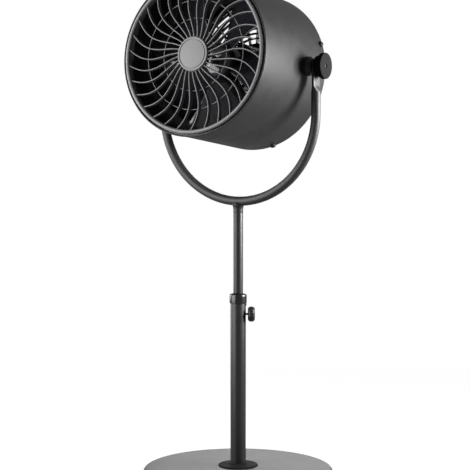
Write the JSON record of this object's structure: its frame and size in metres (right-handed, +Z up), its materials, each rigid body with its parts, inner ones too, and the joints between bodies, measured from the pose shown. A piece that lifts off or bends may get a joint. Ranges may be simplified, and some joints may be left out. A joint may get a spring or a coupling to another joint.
{
  "type": "air circulator fan",
  "caption": "Drum-headed air circulator fan that tilts in a U-shaped tube yoke on a height-adjustable pole with a round weighted base.",
  "frame": {"origin": "on the floor, on the pole's axis", "axes": "+Z up, the head faces -Y, +X to the right of someone who looks along +Y at its front"},
  "size_m": [0.404, 0.3938, 1.0261],
  "materials": {
    "drum_paint": "satin charcoal powder coat with a fine texture",
    "tube_paint": "semi-gloss black enamel on steel tube",
    "base_paint": "satin dark grey enamel on pressed steel",
    "guard_plastic": "satin dark grey moulding",
    "cap_plastic": "satin mid grey moulding",
    "black_plastic": "fine-textured black moulding",
    "dial_plastic": "satin black moulding with plain pale numbers",
    "blade_plastic": "glossy black moulding",
    "switch_plastic": "natural moulding",
    "nylon": "natural nylon",
    "fibre": "pressed fibre",
    "capacitor_case": "plain moulded case",
    "foot_rubber": "matt black rubber",
    "gland_rubber": "matt black rubber",
    "cast_weight": "rough cast, dark primer",
    "motor_metal": "grey enamel on pressed steel",
    "lamination_steel": "stacked electrical steel",
    "copper_winding": "varnished copper wire",
    "bronze_bush": "sintered bronze",
    "shaft_steel": "ground steel",
    "zinc_steel": "zinc plated",
    "spring_steel": "blued spring steel",
    "black_screw": "black oxide"
  },
  "bodies": {
    "stand": {"base_shell": "base_paint", "base_weight": "cast_weight", "base_feet": "foot_rubber", "foot_flange": "black_plastic", "pole_plug": "zinc_steel", "base_bolt": "zinc_steel", "base_washer": "zinc_steel", "lower_pole": "tube_paint", "guide_sleeve": "nylon", "sleeve_screw": "black_screw", "clamp_nut": "zinc_steel", "pole_collar": "black_plastic"},
    "clamp": {"clamp_knob": "black_plastic", "clamp_screw": "zinc_steel"},
    "slider": {"tube_bush": "nylon"},
    "mast": {"inner_tube": "tube_paint", "yoke_stub": "tube_paint", "yoke": "tube_paint", "stub_screw": "black_screw"},
    "head": {"drum_shell": "drum_paint", "front_guard": "guard_plastic", "hub_cap": "cap_plastic", "cap_screw": "zinc_steel", "guard_clips": "spring_steel", "rear_guard": "guard_plastic", "rear_screws": "black_screw", "motor_housing_front": "motor_metal", "motor_housing_rear": "motor_metal", "stator_core": "lamination_steel", "stator_coils": "copper_winding", "front_bush": "bronze_bush", "rear_bush": "bronze_bush", "motor_bolts": "zinc_steel", "motor_nuts": "zinc_steel", "pivot_boss_right": "black_plastic", "pivot_boss_left": "black_plastic", "tilt_washer_right": "fibre", "tilt_washer_left": "fibre", "backing_pad_right": "zinc_steel", "backing_pad_left": "zinc_steel", "boss_rivets": "zinc_steel", "control_box": "black_plastic", "box_screws": "black_screw", "speed_switch": "switch_plastic", "capacitor": "capacitor_case", "cord_gland": "gland_rubber"},
    "rotor": {"motor_shaft": "shaft_steel", "rotor_core": "lamination_steel", "fan_blade": "blade_plastic", "spinner_nut": "blade_plastic"},
    "tilt_knob_right": {"tilt_knob_right": "black_plastic", "tilt_stud_right": "zinc_steel"},
    "tilt_knob_left": {"tilt_knob_left": "black_plastic", "tilt_stud_left": "zinc_steel"},
    "speed_knob": {"speed_dial": "dial_plastic", "switch_spindle": "zinc_steel"}
  },
  "joints": [
    {"name": "clamp_turn", "type": "hinge", "parent": "stand", "child": "clamp", "pos_m": [0, 0, 0.3366], "axis": [0.866, 0.5, 0], "range_deg": [0, 540]},
    {"name": "height", "type": "slide", "parent": "stand", "child": "slider", "axis": [0, 0, 1], "range_m": [-0.14, 0.1]},
    {"name": "swivel", "type": "hinge", "parent": "slider", "child": "mast", "pos_m": [0, 0, 0.5], "axis": [0, 0, 1], "continuous": true},
    {"name": "tilt", "type": "hinge", "parent": "mast", "child": "head", "pos_m": [0, 0, 0.8434], "axis": [1, 0, 0], "range_deg": [-83, 47]},
    {"name": "fan_spin", "type": "hinge", "parent": "head", "child": "rotor", "pos_m": [0, 0, 0.8434], "axis": [0, -0.9925, 0.1219], "continuous": true},
    {"name": "tilt_knob_right_turn", "type": "hinge", "parent": "head", "child": "tilt_knob_right", "pos_m": [0.19, 0, 0.8434], "axis": [1, 0, 0], "range_deg": [0, 540]},
    {"name": "tilt_knob_left_turn", "type": "hinge", "parent": "head", "child": "tilt_knob_left", "pos_m": [-0.19, 0, 0.8434], "axis": [-1, 0, 0], "range_deg": [0, 540]},
    {"name": "speed_select", "type": "hinge", "parent": "head", "child": "speed_knob", "pos_m": [0, 0.11117, 0.82975], "axis": [0, 0.9925, -0.1219], "range_deg": [0, 120]}
  ]
}
